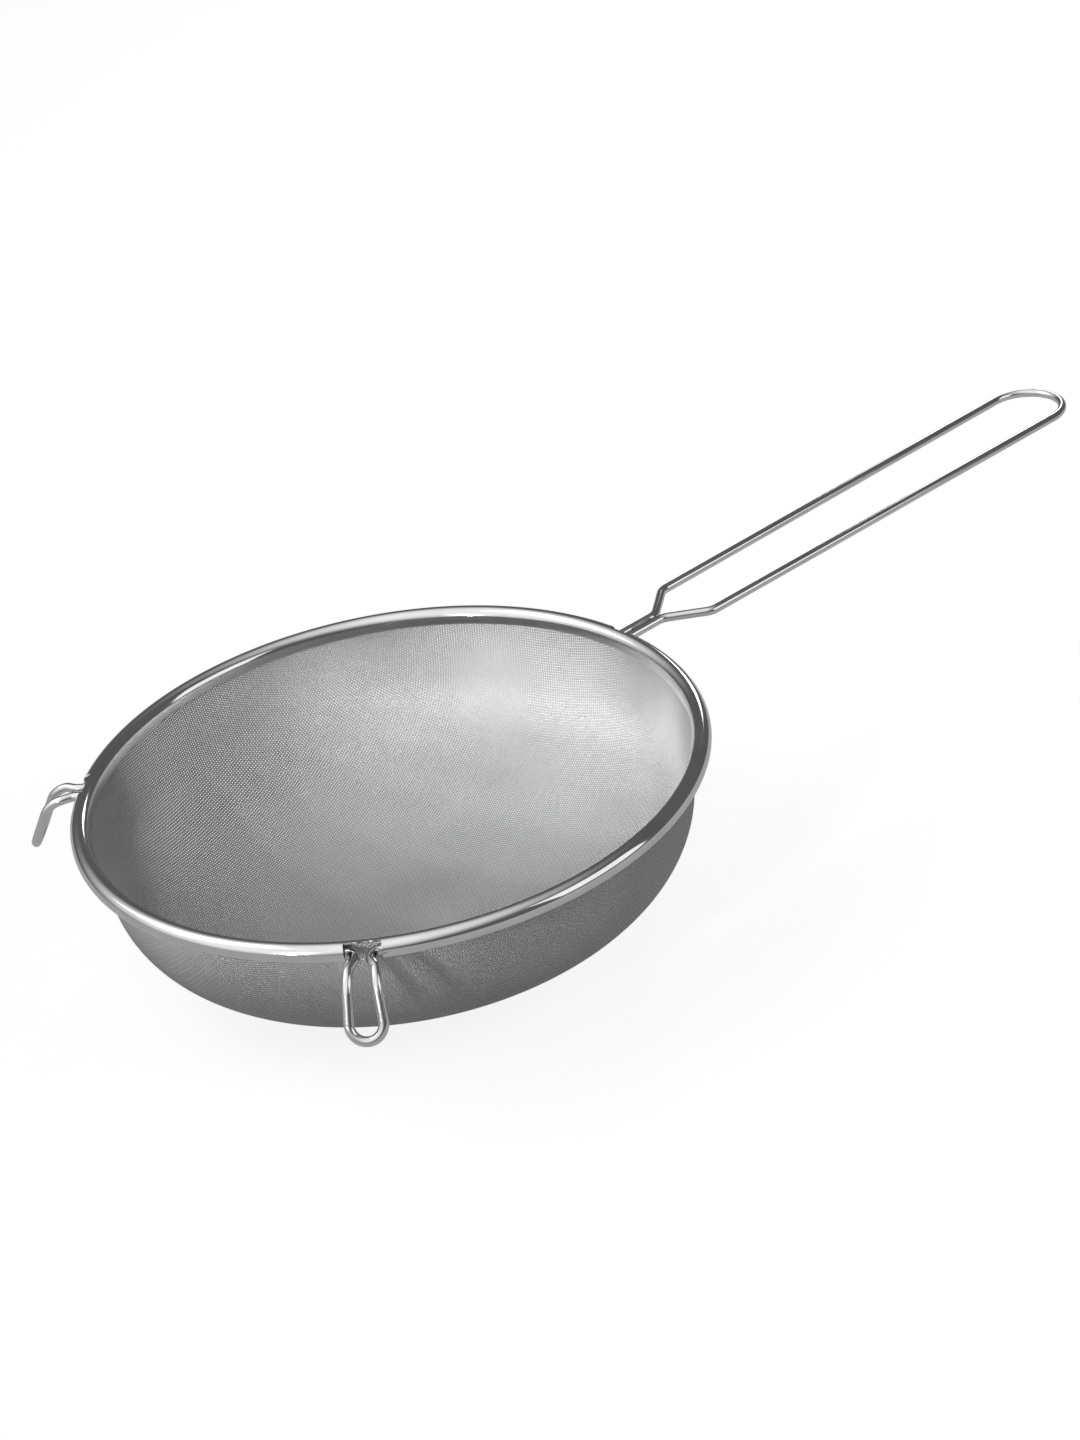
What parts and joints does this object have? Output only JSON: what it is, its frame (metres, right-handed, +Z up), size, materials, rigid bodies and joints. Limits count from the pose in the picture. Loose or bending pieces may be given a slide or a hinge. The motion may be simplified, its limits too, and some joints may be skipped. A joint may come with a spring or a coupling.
{
  "type": "mesh strainer",
  "caption": "Round kitchen strainer: a shallow woven wire bowl in a folded steel rim, a long wire loop handle and wire hooks that rest on a pot.",
  "frame": {"origin": "centre of the bowl's flat underside, on the bowl's axis", "axes": "+Z up along the bowl's axis, +X along the handle"},
  "size_m": [0.4127, 0.2, 0.0553],
  "materials": {
    "woven_cloth": "fine plain-woven stainless wire",
    "polished_steel": "polished stainless steel",
    "weld_steel": "wire-brushed weld"
  },
  "bodies": {
    "root": {"mesh_bowl": "woven_cloth", "rim_band": "polished_steel", "handle_wire": "polished_steel", "hook_wire_left": "polished_steel", "hook_wire_front": "polished_steel", "core_wire_back": "polished_steel", "core_wire_left": "polished_steel", "core_wire_front": "polished_steel", "neck_weld_top": "weld_steel", "neck_weld_bottom": "weld_steel"}
  },
  "joints": []
}
